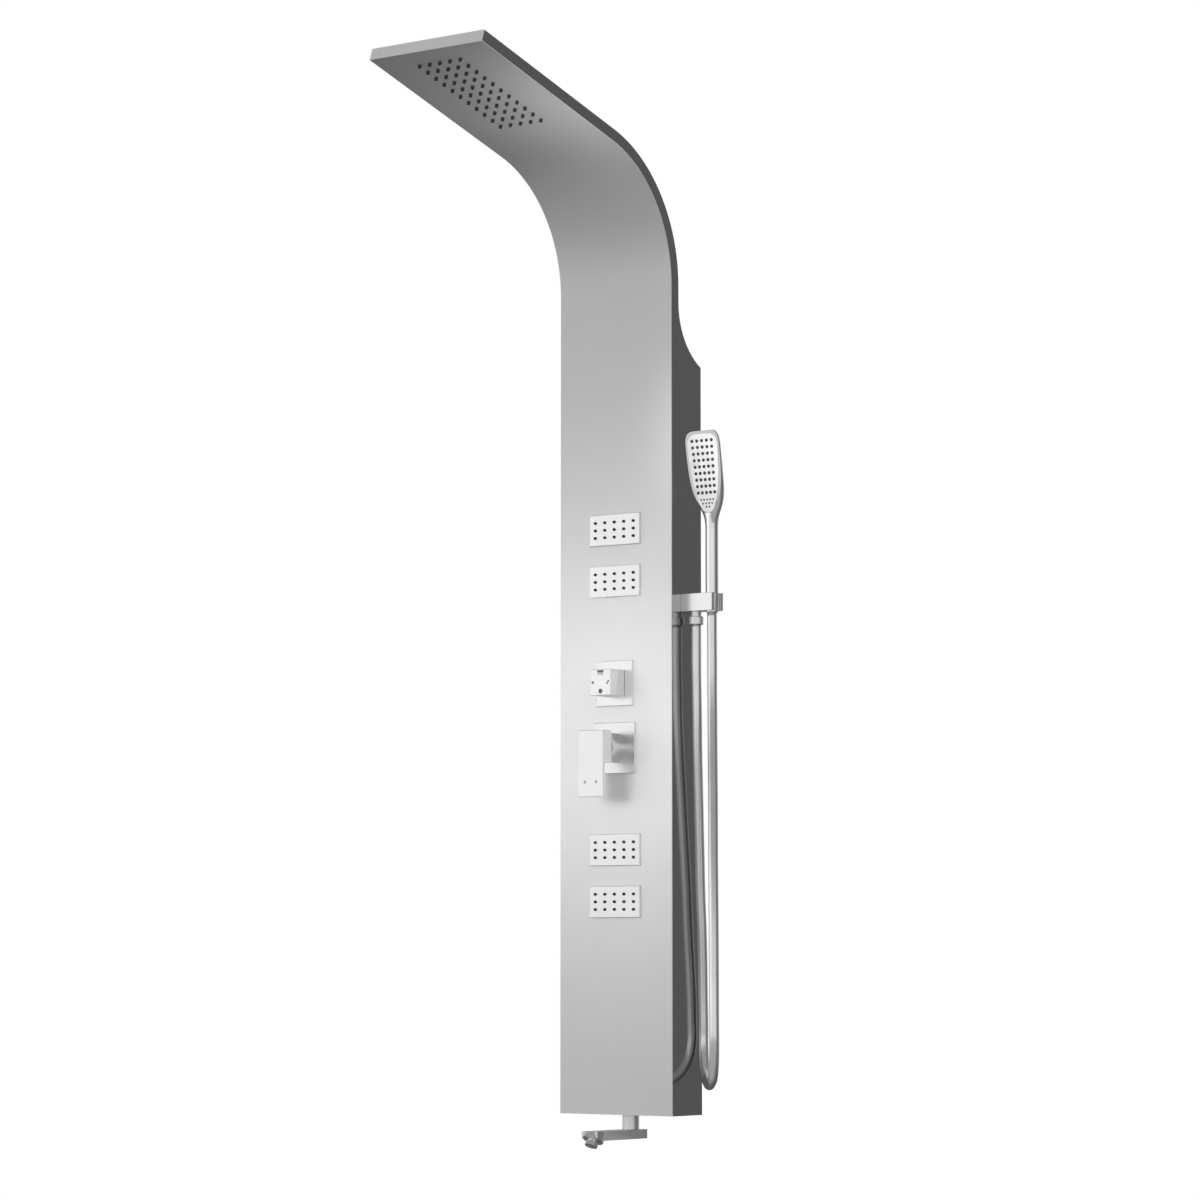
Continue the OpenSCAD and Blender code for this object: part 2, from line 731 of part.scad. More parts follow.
module lever_block() {
    x = lever_w / 2;
    z = lever_block_h / 2;
    color(chrome) place() difference() {
        block([-x, x], [-block_front, -block_back], [mix_z - z, mix_z + z]);
        on_pivot() sphere(r = shroud_r + free_gap);
        rod_y(stem_r + run_gap, 0, [-stem_front - 0.2, 0], mix_z);
        rod_z(lever_grub_r + run_gap, 0, -grub_y, [mix_z - z - over, mix_z]);
    }
}
module lever_grub_screw() {
    color(dark_steel) place()
        rod_z(lever_grub_r, 0, -grub_y, [mix_z - stem_r - 0.1 - grub_l, mix_z - stem_r - 0.1]);
}
lever_front = block_front + lever_t;
dot_x = 10;
dot_z = 21;
module dots(gap) {
    for (side = [-1, 1])
        rod_y(1.7 + gap, side * dot_x, [-lever_front - gap, mark_t - lever_front],
            mix_z + lever_block_h / 2 - lever_l + dot_z);
}
module lever_plate() {
    color(chrome) place() difference() {
        translate([0, -block_front, mix_z + lever_block_h / 2 - lever_l / 2])
            bevel_plate(lever_w, lever_l, lever_t, 0.6);
        dots(run_gap);
    }
}
module lever_dots() {
    color(rubber) place() dots(0);
}
module supply_tube() {
    color("silver") place()
        rod_z(supply_r, 0, arm_y, [mix_z + barrel_r + boss_l, div_z - div_half_h]);
}

// Hand shower bracket with the water outlet for the hose
hand_x = half_w + fork_reach;
outlet_x = half_w + outlet_reach;
nipple_z = fork_z - fork_h / 2;
nipple_r = 5.5;
nipple_l = 14;
neck_r = 7.6;
neck_l = 14;
nut_r = 10.5;
nut_l = 11.5;
nut_top = fork_z - fork_h - 7;
hose_start = nut_top - nut_l;
tail_l = 12;
cone_top = fork_z - 0.3;
cone_l = 27;
socket_r1 = cone_r1 + free_gap;
socket_r2 = socket_r1 - (cone_r1 - cone_r2) * fork_h / cone_l;
module fork_bracket() {
    color(chrome) place() difference() {
        union() {
            block([half_w, half_w + fork_l], [fork_y - fork_t / 2, fork_y + fork_t / 2], [fork_z - fork_h, fork_z]);
            rod_x(nipple_r, [half_w - nipple_l, half_w + over], fork_y, nipple_z);
            rod_z(neck_r, outlet_x, fork_y, [fork_z - fork_h - neck_l, fork_z - fork_h + over]);
        }
        cone_z(socket_r2, socket_r1, hand_x, fork_y, [fork_z - fork_h, fork_z]);
        rod_z(socket_r2, hand_x, fork_y, [fork_z - fork_h - over, fork_z]);
        block([hand_x, half_w + fork_l + over], [fork_y - slot_w / 2, fork_y + slot_w / 2],
            [fork_z - fork_h - over, fork_z + over]);
        rod_x(nipple_r - 2, [half_w - nipple_l - over, outlet_x], fork_y, nipple_z);
        rod_z(nipple_r - 2, outlet_x, fork_y, [fork_z - fork_h - neck_l - over, nipple_z]);
    }
}
module bracket_locknut() {
    color(brass) place() translate([inner_w, fork_y, nipple_z]) rotate([0, -90, 0])
        hex_z(nipple_r + 4, nipple_r + run_gap, [0, 5]);
}
module hose_nut() {
    bottom = fork_z - fork_h - neck_l;
    color(chrome) place() difference() {
        rod_z(nut_r, outlet_x, fork_y, [hose_start, nut_top]);
        rod_z(neck_r + run_gap, outlet_x, fork_y, [bottom, nut_top + over]);
        rod_z(nipple_r - 1, outlet_x, fork_y, [hose_start - over, nut_top]);
    }
}
module cone_nut() {
    color(chrome) place() difference() {
        cone_z(cone_r2, cone_r1, hand_x, fork_y, [cone_top - cone_l, cone_top]);
        rod_z(tail_r + run_gap, hand_x, fork_y, [fork_z - tail_l - over, cone_top + over]);
        rod_z(nipple_r - 1, hand_x, fork_y, [cone_top - cone_l - over, cone_top]);
    }
}

feed_r = 6;
feed_turn = 14;
feed_end = 3;
feed_x = half_w - nipple_l - feed_end - feed_turn;
feed_steps = 4;
feed_route = concat(
    [[div_half_w + stub_l, feed_y, div_z]],
    [for (i = [0:feed_steps]) let (a = 90 * i / feed_steps)
        [feed_x - feed_turn * (1 - sin(a)), feed_y, div_z + feed_turn * (1 - cos(a))]],
    [for (i = [0:feed_steps]) let (a = 90 * i / feed_steps)
        [feed_x + feed_turn * (1 - cos(a)), fork_y, nipple_z - feed_turn * (1 - sin(a))]],
    [[half_w - nipple_l, fork_y, nipple_z]]
);
module handset_feed_tube() {
    color("whitesmoke") place() tube(feed_route, feed_r, 12, [0, 1, 0]);
}

// Route of the free hose in the row's frame, from the bracket's nut down and up to the hand shower
hose_route = [
    [117, -35, -309.5], [117, -35, -335], [117, -35, -365], [117, -34, -400], [117, -33, -440],
    [116, -31, -490], [115, -28, -540], [114, -25, -590], [113, -22, -640], [112, -19, -690],
    [112, -16, -740], [111, -13, -790], [110, -11, -835], [110, -10, -870], [110, -10, -897],
    [114, -14, -923], [124, -24, -944], [137, -37, -953], [149.5, -50, -956], [162, -63, -953],
    [175, -76, -944], [184.5, -86, -923], [188, -90, -897], [187.8, -90, -870], [187, -89, -835],
    [184.7, -86, -790], [181.6, -82, -740], [177.6, -77, -690], [172.8, -71, -640], [167.3, -63.5, -590],
    [161.2, -55.5, -540], [154.8, -47.5, -490], [149.8, -41, -440], [146.8, -37.3, -400], [145.5, -35.4, -365],
    [145, -35, -335], [145, -35, -293.3]
];
module hose() {
    start = hose_route[0];
    color("silver") translate([outlet_x - start[0], fork_y - panel_d - start[1], hose_start - hang_z - start[2]])
        tube(hose_route, hose_d / 2, 12, unit([0.7, 0.71, 0]));
}

// Hand shower: sections up the axis from the fork, each with height, width, depth, middle and squareness
hand_sections = [
    [0.3, 2 * handle_r, 2 * handle_r, 0, 2], [40, 2 * handle_r, 2 * handle_r, 0, 2],
    [86, 2 * handle_r, 2 * handle_r, 0, 2], [94, 18.3, 18, -0.1, 2], [101, 19.4, 17.9, -0.3, 2.03],
    [108, 22.6, 17.6, -0.6, 2.1], [115, 28.8, 17, -1.2, 2.18], [122, 36, 17.6, -2.2, 2.26],
    [129, 42.2, 19, -3.6, 2.35], [136, 46.8, 20.4, -5.3, 2.44], [143, 50.2, 21, -7.3, 2.52],
    [151, 52.8, 20.8, -9.4, 2.6], [161, 55.2, 19.6, -12, 2.72], [173, 56.8, 18.2, -14.7, 2.8],
    [187, 58, 17, -17.3, 2.8], [200, 58.5, 16.2, -19.5, 2.8], [209, 58.7, 15.4, -21, 2.8],
    [216, 57.6, 14, -21.9, 2.8], [221.5, 54.6, 11.6, -22.4, 2.8], [225.5, 50, 8.4, -23, 2.7],
    [228.2, 43.6, 4.6, -23.4, 2.6]
];
loft_n = 28;
function sgn_pow(v, e) = sign(v) * pow(abs(v), e);
function hand_ring(s) = [for (k = [0:loft_n - 1]) let (a = 360 * (k + 0.5) / loft_n)
    [s[1] / 2 * sgn_pow(cos(a), 2 / s[4]), s[3] + s[2] / 2 * sgn_pow(sin(a), 2 / s[4]), s[0]]];
module hand_loft() {
    m = len(hand_sections);
    n = loft_n;
    points = [for (s = hand_sections) each hand_ring(s)];
    walls = [for (i = [0:m - 2], k = [0:n - 1]) let (a = i * n + k, b = i * n + (k + 1) % n)
        each [[a, a + n, b], [b, a + n, b + n]]];
    caps = [[for (k = [0:n - 1]) k], [for (k = [0:n - 1]) m * n - 1 - k]];
    polyhedron(points, concat(walls, caps));
}

// Frame of the spray face: x across, y up the face, z out of it
face_z0 = 117;
face_y0 = -7.9;
module on_hand() {
    translate([hand_x, fork_y, fork_z]) children();
}
module on_face() {
    on_hand() translate([0, face_y0, face_z0]) rotate([90 + face_lean, 0, 0]) children();
}
cut_w = 100;
face_outline = [
    [0, -3.4], [5, -2.2], [9, 1], [13, 7.5], [16.6, 16], [19.8, 27], [22.4, 42], [24.4, 60], [25.6, 78], [26, 92],
    [25.2, 99.5], [22, 105], [16.5, 107.8], [0, 108.8]
];
cut_outline = [[0, -4.4], [6, -3], [10.4, 0.4], [15, 8], [20, 17], [cut_w, 2 * cut_w], [0, 2 * cut_w]];
face_t = 1.6;
face_pocket = 2.6;
cut_t = 40;
bore_r = 6;
bore_top = 126;
chamber_depth = 5.2;
function mirrored(p) = concat(p, [for (i = [len(p) - 2:-1:1]) [-p[i][0], p[i][1]]]);
function inset(p, d) = [for (q = p) [max(q[0] - d, 0), q[1] < 50 ? q[1] + d : q[1] - d]];
module face_shape(d) {
    polygon(mirrored(inset(face_outline, d)));
}
module handset_body() {
    color(chrome) place() difference() {
        union() {
            on_hand() hand_loft();
            rod_z(tail_r, hand_x, fork_y, [fork_z - tail_l, fork_z + over]);
        }
        on_face() linear_extrude(cut_t) polygon(mirrored(cut_outline));
        on_face() translate([0, 0, -face_pocket]) linear_extrude(face_pocket + over) face_shape(-run_gap);
        on_face() translate([0, 0, -chamber_depth]) linear_extrude(chamber_depth) face_shape(3);
        rod_z(bore_r, hand_x, fork_y, [fork_z - tail_l - over, fork_z + bore_top]);
    }
}
spray_rows = 9;
spray_pitch = 9.2;
spray_y0 = 25;
mist_r = 0.8;
function spray_places() = [for (j = [0:spray_rows - 1], i = [-2:2])
    [i * (7.2 + 1.3 * j / (spray_rows - 1)), spray_y0 + spray_pitch * j]];
function mist_row(n, y, pitch) = [for (i = [0:n - 1]) [(i - (n - 1) / 2) * pitch, y]];
mist_places = concat(mist_row(5, 16, 4.6), mist_row(4, 10.5, 4.6), mist_row(2, 5.5, 4.6));
module handset_face() {
    color("gainsboro") place() on_face() difference() {
        translate([0, 0, -face_t]) linear_extrude(face_t + 0.4) face_shape(0.2);
        for (q = spray_places()) translate([q[0], q[1], -face_t - over])
            cylinder(r = spray_d / 2 + hole_gap, h = face_t + 2 * over);
        for (q = mist_places) translate([q[0], q[1], -face_t - over])
            cylinder(r = mist_r, h = face_t + 2 * over, $fn = 16);
    }
}
module handset_nozzles() {
    color(rubber) place() on_face() difference() {
        union() {
            translate([0, 0, -face_pocket]) linear_extrude(face_pocket - face_t) face_shape(0.3);
            for (q = spray_places()) translate([q[0], q[1], -face_pocket])
                cylinder(r = spray_d / 2, h = face_pocket + 1.2);
        }
        for (q = spray_places()) translate([q[0], q[1], -face_pocket - over])
            cylinder(r = 0.6, h = face_pocket + 3, $fn = 16);
    }
}

// Bath spout
bush_top = 22;
bush_flange_r = 14;
bush_flange_t = 4;
pin_top = 16;
screw_r = 1.3;
screw_z = sheet_t + bush_flange_t / 2;
module spout_bush() {
    color(brass) place() difference() {
        union() {
            rod_z(bush_flange_r, 0, stem_y, [sheet_t, sheet_t + bush_flange_t]);
            rod_z(pin_r + 3, 0, stem_y, [sheet_t, bush_top]);
        }
        rod_z(pin_r + run_gap, 0, stem_y, [0, pin_top + free_gap]);
        rod_z(pin_r - 3, 0, stem_y, [0, bush_top + over]);
        rod_y(screw_r + run_gap, 0, [stem_y, stem_y + bush_flange_r + over], screw_z);
    }
}
groove_d = 1;
module spout_set_screw() {
    color(dark_steel) place()
        rod_y(screw_r, 0, [stem_y + pin_r - groove_d + free_gap, stem_y + bush_flange_r - 0.5], screw_z);
}
spout_feed_y = 60;
spout_turn = 8;
spout_feed_steps = 8;
feed_high = 190;
feed_low = 50;
function drop(s) = [inlet_x * (1 - ease(s)), spout_feed_y + (stem_y - spout_feed_y) * ease(s),
    feed_high + (feed_low - feed_high) * s];
spout_route = concat(
    [[inlet_x, div_back + stub_l, div_z]],
    [for (i = [0:feed_steps]) let (a = 90 * i / feed_steps)
        [inlet_x, spout_feed_y - spout_turn * (1 - sin(a)), div_z - spout_turn * (1 - cos(a))]],
    [for (i = [0:spout_feed_steps]) drop(i / spout_feed_steps)],
    [[0, stem_y, bush_top]]
);
module spout_feed_tube() {
    color("whitesmoke") place() tube(spout_route, stub_r, 12, [1, 0, 0]);
}
seal_z = [8.5, 12.5];
seal_r = 0.8;
seal_mid = pin_r + 0.03 - seal_r;
module groove(r, z) {
    difference() {
        rod_z(pin_r + over, 0, stem_y, z);
        rod_z(r, 0, stem_y, z);
    }
}
module spout_stem() {
    color(chrome) place() difference() {
        union() {
            rod_z(spout_stem_r, 0, stem_y, [-stem_l, -free_gap]);
            rod_z(pin_r, 0, stem_y, [-stem_l / 2, pin_top]);
        }
        rod_z(pin_r - 3, 0, stem_y, [-stem_l - over, pin_top + over]);
        groove(pin_r - groove_d, [screw_z - screw_r - 0.2, screw_z + screw_r + 0.2]);
        for (z = seal_z)
            groove(seal_mid - seal_r, [z - seal_r, z + seal_r]);
    }
}
module spout_seals() {
    color(rubber) place() for (z = seal_z)
        translate([0, stem_y, z]) rotate_extrude() translate([seal_mid, 0]) circle(r = seal_r);
}
bar_top = -stem_l;
cup_depth = 3;
cup_y = stem_y - bar_front + 9;
ring_r = cup_r - 2;
ring_top = -0.5;
water_h = 6;
module on_ball() {
    translate([0, cup_y, bar_top - bar_t + 3.1]) rotate([-cup_tilt, 0, 0]) children();
}
module spout_bar() {
    y = [stem_y - bar_front, stem_y + bar_rear];
    mid = bar_top - bar_t / 2;
    color(chrome) place() difference() {
        union() {
            difference() {
                block([-bar_w / 2, bar_w / 2], y, [bar_top - bar_t, bar_top]);
                on_ball() block([-bar_w, bar_w], [-2 * bar_t, 8], [-cup_depth - 3 * bar_t, -cup_depth]);
            }
            intersection() {
                on_ball() rod_z(cup_r, 0, 0, [-cup_depth, 24]);
                block([-cup_r, cup_r], [y[0] - cup_r, stem_y], [bar_top - 3 * bar_t, bar_top]);
            }
        }
        on_ball() sphere(r = aerator_ball_r + free_gap);
        on_ball() rod_z(ring_r, 0, 0, [-cup_depth - over, ring_top]);
        block([-bar_w / 3, bar_w / 3], [cup_y + 4, stem_y + 8], [mid - water_h / 2, mid + water_h / 2]);
        rod_z(pin_r - 3, 0, stem_y, [mid, bar_top + over]);
    }
}
ring_bottom = -cup_depth - 0.4;
nozzle_r = 9.2;
neck_z = -4.46;
nozzle_z = [-12, -6.2];
insert_r = 7.9;
module aerator_ring() {
    color(chrome) place() on_ball() difference() {
        rod_z(ring_r - run_gap, 0, 0, [ring_bottom, ring_top]);
        sphere(r = aerator_ball_r + free_gap);
    }
}
module aerator_nozzle() {
    color(chrome) place() on_ball() difference() {
        union() {
            sphere(r = aerator_ball_r);
            rod_z(7, 0, 0, [nozzle_z[0], neck_z]);
            rod_z(nozzle_r, 0, 0, nozzle_z);
        }
        rod_z(insert_r + run_gap, 0, 0, [nozzle_z[0] - over, nozzle_z[0] + 3]);
        rod_z(3.5, 0, 0, [nozzle_z[0], aerator_ball_r + over]);
    }
}
module aerator_insert() {
    color(dark_steel) place() on_ball() difference() {
        rod_z(insert_r, 0, 0, [nozzle_z[0] + 0.5, nozzle_z[0] + 3]);
        for (i = [1:2], a = [0:60:300]) rotate([0, 0, a + 30 * i])
            rod_z(0.7, 2.6 * i, 0, [nozzle_z[0] - over, nozzle_z[0] + 4]);
    }
}

front_panel();
side_plate_left();
side_plate_right();
back_sheet();
tip_cap();
bottom_plate();
hanging_rails();
wall_bracket_upper();
wall_bracket_lower();
rain_chamber();
rain_nozzle_mat();
riser_tube();
jet_plate(0);  // jet_plate_1
jet_plate(1);  // jet_plate_2
jet_plate(2);  // jet_plate_3
jet_plate(3);  // jet_plate_4
jet_nozzles();
jet_housings();
jet_screws();
jet_manifold();
diverter_plate();
diverter_locknut();
diverter_body();
diverter_cartridge();
diverter_spindle();
diverter_knob();
knob_grub_screw();
knob_marks();
mixer_plate();
mixer_locknut();
mixer_body();
mixer_cartridge();
cartridge_nut();
mixer_shroud();
cartridge_turner();
lever_stem();
lever_block();
lever_plate();
lever_grub_screw();
lever_dots();
supply_tube();
fork_bracket();
bracket_locknut();
handset_feed_tube();
hose_nut();
hose();
cone_nut();
handset_body();
handset_face();
handset_nozzles();
spout_bush();
spout_set_screw();
spout_feed_tube();
spout_stem();
spout_seals();
spout_bar();
aerator_ring();
aerator_nozzle();
aerator_insert();
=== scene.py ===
"""Shower panel column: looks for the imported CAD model. Metres, in the row frame: +X right, +Y to the wall, +Z up."""
import json
import math

import bpy
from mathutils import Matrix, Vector


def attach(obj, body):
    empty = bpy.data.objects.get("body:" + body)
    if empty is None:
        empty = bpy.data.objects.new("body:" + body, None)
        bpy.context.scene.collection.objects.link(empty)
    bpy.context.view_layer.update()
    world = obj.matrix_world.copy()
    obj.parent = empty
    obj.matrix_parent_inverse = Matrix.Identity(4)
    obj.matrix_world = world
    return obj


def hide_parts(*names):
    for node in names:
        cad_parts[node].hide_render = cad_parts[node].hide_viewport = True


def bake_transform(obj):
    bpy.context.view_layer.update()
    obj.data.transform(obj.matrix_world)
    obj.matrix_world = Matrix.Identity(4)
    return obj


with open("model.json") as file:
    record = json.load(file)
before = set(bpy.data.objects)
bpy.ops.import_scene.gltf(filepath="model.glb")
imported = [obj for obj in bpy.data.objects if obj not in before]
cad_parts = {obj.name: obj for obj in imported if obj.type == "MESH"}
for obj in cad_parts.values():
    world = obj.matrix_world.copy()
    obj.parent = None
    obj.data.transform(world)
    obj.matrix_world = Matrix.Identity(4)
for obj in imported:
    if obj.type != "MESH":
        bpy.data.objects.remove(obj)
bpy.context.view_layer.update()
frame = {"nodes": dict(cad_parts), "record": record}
nodes = frame["nodes"]


MM = 1000  # to the metre
PANEL_DEPTH = 70  # mm from the wall to the front face
ORIGIN_HEIGHT = 1  # metre from the panel's bottom edge up to the row frame's origin


def at(x, y, z):
    """Panel coordinates in mm (front face y = 0, bottom edge z = 0), as part.scad draws them, to the row frame."""
    return Vector((x / MM, (y - PANEL_DEPTH) / MM, z / MM - ORIGIN_HEIGHT))


# ---------------------------------------------------------------- camera
CAMERA_PLACE = (3.6496, -4.7773, -0.7688)
CAMERA_HEADING = 38  # degrees to the right of the panel's front
CAMERA_PITCH = 4.78  # degrees upwards
CAMERA_SENSOR = 36  # mm
CAMERA_LENS = 125.74  # mm
CAMERA_REACH = 60  # metres


def make_camera():
    camera = bpy.data.objects.new("photo_camera", bpy.data.cameras.new("photo_camera"))
    bpy.context.scene.collection.objects.link(camera)
    camera.location = CAMERA_PLACE
    camera.rotation_euler = (math.radians(90 + CAMERA_PITCH), 0, math.radians(CAMERA_HEADING))
    camera.data.sensor_width = CAMERA_SENSOR
    camera.data.lens = CAMERA_LENS
    camera.data.clip_end = CAMERA_REACH
    bpy.context.scene.camera = camera


make_camera()

# ---------------------------------------------------------------- hose
HOSE_DIAMETER = 0.014
HOSE_SIDES = 20
HOSE_STEPS = 5  # stretches of the smooth curve between each two points
LOOP_SIDE = Vector((0.71, 0.70, 0))  # level, and square to the plane in which the hose's loop hangs
# Middle line in metres, from the hose nut down, round the loop and up to the cone nut
HOSE_ROUTE = [
    (0.117, -0.035, -0.3095), (0.117, -0.035, -0.335), (0.117, -0.035, -0.365), (0.117, -0.034, -0.400),
    (0.117, -0.033, -0.440), (0.116, -0.031, -0.490), (0.115, -0.028, -0.540), (0.114, -0.025, -0.590),
    (0.113, -0.022, -0.640), (0.112, -0.019, -0.690), (0.112, -0.016, -0.740), (0.111, -0.013, -0.790),
    (0.110, -0.011, -0.835), (0.110, -0.010, -0.870), (0.110, -0.010, -0.897), (0.114, -0.014, -0.923),
    (0.124, -0.024, -0.944), (0.137, -0.037, -0.953), (0.1495, -0.050, -0.956), (0.162, -0.063, -0.953),
    (0.175, -0.076, -0.944), (0.1845, -0.086, -0.923), (0.188, -0.090, -0.897), (0.1878, -0.090, -0.870),
    (0.187, -0.089, -0.835), (0.1847, -0.086, -0.790), (0.1816, -0.082, -0.740), (0.1776, -0.077, -0.690),
    (0.1728, -0.071, -0.640), (0.1673, -0.0635, -0.590), (0.1612, -0.0555, -0.540), (0.1548, -0.0475, -0.490),
    (0.1498, -0.041, -0.440), (0.1468, -0.0373, -0.400), (0.1455, -0.0354, -0.365), (0.145, -0.035, -0.335),
    (0.145, -0.035, -0.2933),
]


def smooth_route(points, steps):
    """A cubic curve through all the points, of any number of values, with that many stretches between each two."""
    points = [Vector(p) for p in points]
    ends = [points[0]] + points + [points[-1]]
    route = []
    for before, start, end, after in zip(ends, ends[1:], ends[2:], ends[3:]):
        for i in range(steps):
            t = i / steps
            leave, arrive = (end - before) / 2, (after - start) / 2
            route.append(start * (2 * t ** 3 - 3 * t ** 2 + 1) + end * (3 * t ** 2 - 2 * t ** 3)
                         + leave * (t ** 3 - 2 * t ** 2 + t) + arrive * (t ** 3 - t ** 2))
    return route + [points[-1]]


def add_mesh(name, points, faces):
    mesh = bpy.data.meshes.new(name)
    mesh.from_pydata([tuple(p) for p in points], [], faces)
    mesh.update()
    mesh.shade_smooth()
    piece = bpy.data.objects.new(name, mesh)
    bpy.context.scene.collection.objects.link(piece)
    return piece


def sweep(name, route, radius, sides):
    """A round tube along a route, with closed ends."""
    points, faces = [], []
    for i, place in enumerate(route):
        ahead = (route[min(i + 1, len(route) - 1)] - route[max(i - 1, 0)]).normalized()
        side = ahead.cross(LOOP_SIDE).normalized()
        up = side.cross(ahead)
        for k in range(sides):
            angle = 2 * math.pi * k / sides
            points.append(place + radius * (math.cos(angle) * side + math.sin(angle) * up))
    for i in range(len(route) - 1):
        for k in range(sides):
            a, b = i * sides + k, i * sides + (k + 1) % sides
            faces.append((a, b, b + sides, a + sides))
    faces.append(tuple(range(sides))[::-1])
    faces.append(tuple(range(len(points) - sides, len(points))))
    return add_mesh(name, points, faces)


def make_hose():
    route = smooth_route(HOSE_ROUTE, HOSE_STEPS)
    piece = sweep("shower_hose", route, HOSE_DIAMETER / 2, HOSE_SIDES)
    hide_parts("hose")
    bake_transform(piece)
    return piece


hose = make_hose()

# ---------------------------------------------------------------- hand shower
HAND_PLACE = (145, 35, 734)  # mm: the hand shower's axis at the top of the fork, in panel coordinates
HAND_SIDES = 72
HAND_STEPS = 4
HAND_EDGE = 0.6  # mm
HAND_EDGE_SEGMENTS = 3
# The same sections as part.scad, in mm: height above the fork, width, depth, middle and squareness
HAND_SECTIONS = [
    (0.3, 18, 18, 0, 2), (40, 18, 18, 0, 2), (86, 18, 18, 0, 2), (94, 18.3, 18, -0.1, 2),
    (101, 19.4, 17.9, -0.3, 2.03), (108, 22.6, 17.6, -0.6, 2.1), (115, 28.8, 17, -1.2, 2.18),
    (122, 36, 17.6, -2.2, 2.26), (129, 42.2, 19, -3.6, 2.35), (136, 46.8, 20.4, -5.3, 2.44),
    (143, 50.2, 21, -7.3, 2.52), (151, 52.8, 20.8, -9.4, 2.6), (161, 55.2, 19.6, -12, 2.72),
    (173, 56.8, 18.2, -14.7, 2.8), (187, 58, 17, -17.3, 2.8), (200, 58.5, 16.2, -19.5, 2.8),
    (209, 58.7, 15.4, -21, 2.8), (216, 57.6, 14, -21.9, 2.8), (221.5, 54.6, 11.6, -22.4, 2.8),
    (225.5, 50, 8.4, -23, 2.7), (228.2, 43.6, 4.6, -23.4, 2.6),
]
# Right halves of the outlines of the spray face and of the flat cut around it, in mm across and up the face
FACE_OUTLINE = [
    (0, -3.4), (5, -2.2), (9, 1), (13, 7.5), (16.6, 16), (19.8, 27), (22.4, 42), (24.4, 60), (25.6, 78), (26, 92),
    (25.2, 99.5), (22, 105), (16.5, 107.8), (0, 108.8),
]
CUT_OUTLINE = [(0, -4.4), (6, -3), (10.4, 0.4), (15, 8), (20, 17), (60, 90), (60, 160), (0, 160)]
FACE_LEAN = math.radians(9)
FACE_PLACE = (-7.9, 117)  # mm: depth and height of the face's foot on the hand shower
CUT_HEIGHT = 30  # mm out of the face that the cut clears
POCKET_DEPTH = 2.6  # mm into the face
POCKET_HEIGHT = 10  # mm out of the face that the pocket clears
POCKET_GAP = 0.05  # mm around the spray face


def on_hand(x, y, z):
    """Millimetres from the hand shower's axis at the top of the fork, to the row frame."""
    return at(HAND_PLACE[0] + x, HAND_PLACE[1] + y, HAND_PLACE[2] + z)


def on_face(x, y, z):
    """Millimetres on the spray face, as part.scad draws it: x across, y up the face, z out of it."""
    up, out = (-math.sin(FACE_LEAN), math.cos(FACE_LEAN)), (-math.cos(FACE_LEAN), -math.sin(FACE_LEAN))
    return on_hand(x, FACE_PLACE[0] + y * up[0] + z * out[0], FACE_PLACE[1] + y * up[1] + z * out[1])


def hand_ring(section, count):
    """One section of the hand shower's shell as a rounded outline of that many points."""
    height, width, depth, middle, squareness = section
    ring = []
    for k in range(count):
        c, s = math.cos(2 * math.pi * (k + 0.5) / count), math.sin(2 * math.pi * (k + 0.5) / count)
        ring.append(on_hand(math.copysign(width / 2 * abs(c) ** (2 / squareness), c),
                            middle + math.copysign(depth / 2 * abs(s) ** (2 / squareness), s), height))
    return ring


def prism(name, outline, low, high, grow=0.0):
    """A mirrored outline on the spray face, drawn out from one depth to another."""
    half = [(max(x + grow, 0) if x else 0, y) for x, y in outline]
    full = half + [(-x, y) for x, y in half[-2:0:-1]]
    n = len(full)
    points = [on_face(x, y, low) for x, y in full] + [on_face(x, y, high) for x, y in full]
    faces = [tuple(range(n))[::-1], tuple(range(n, 2 * n))]
    faces += [(i, (i + 1) % n, n + (i + 1) % n, n + i) for i in range(n)]
    return add_mesh(name, points, faces)


def make_handset():
    """The shell as a smooth loft, cut flat and pocketed for the spray face as part.scad's is."""
    rings = [hand_ring(section, HAND_SIDES) for section in smooth_route(HAND_SECTIONS, HAND_STEPS)]
    n = len(rings[0])
    points = [p for ring in rings for p in ring]
    faces = [(i * n + k, i * n + (k + 1) % n, (i + 1) * n + (k + 1) % n, (i + 1) * n + k)
             for i in range(len(rings) - 1) for k in range(n)]
    faces += [tuple(range(n))[::-1], tuple(range(len(points) - n, len(points)))]
    piece = add_mesh("hand_shower_shell", points, faces)
    cutters = [
        prism("face_cut", CUT_OUTLINE, 0, CUT_HEIGHT),
        prism("face_pocket", FACE_OUTLINE, -POCKET_DEPTH, POCKET_HEIGHT, POCKET_GAP),
    ]
    for cutter in cutters:
        cut = piece.modifiers.new(cutter.name, "BOOLEAN")
        cut.operation, cut.solver, cut.object = "DIFFERENCE", "EXACT", cutter
    bpy.context.view_layer.update()
    carved = bpy.data.meshes.new_from_object(piece.evaluated_get(bpy.context.evaluated_depsgraph_get()))
    piece.modifiers.clear()
    piece.data = carved
    for cutter in cutters:
        bpy.data.objects.remove(cutter)
    soften(piece, HAND_EDGE / MM, HAND_EDGE_SEGMENTS)
    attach(piece, "handset")
    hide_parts("handset_body")
    return piece


STUD_SIDES = 20


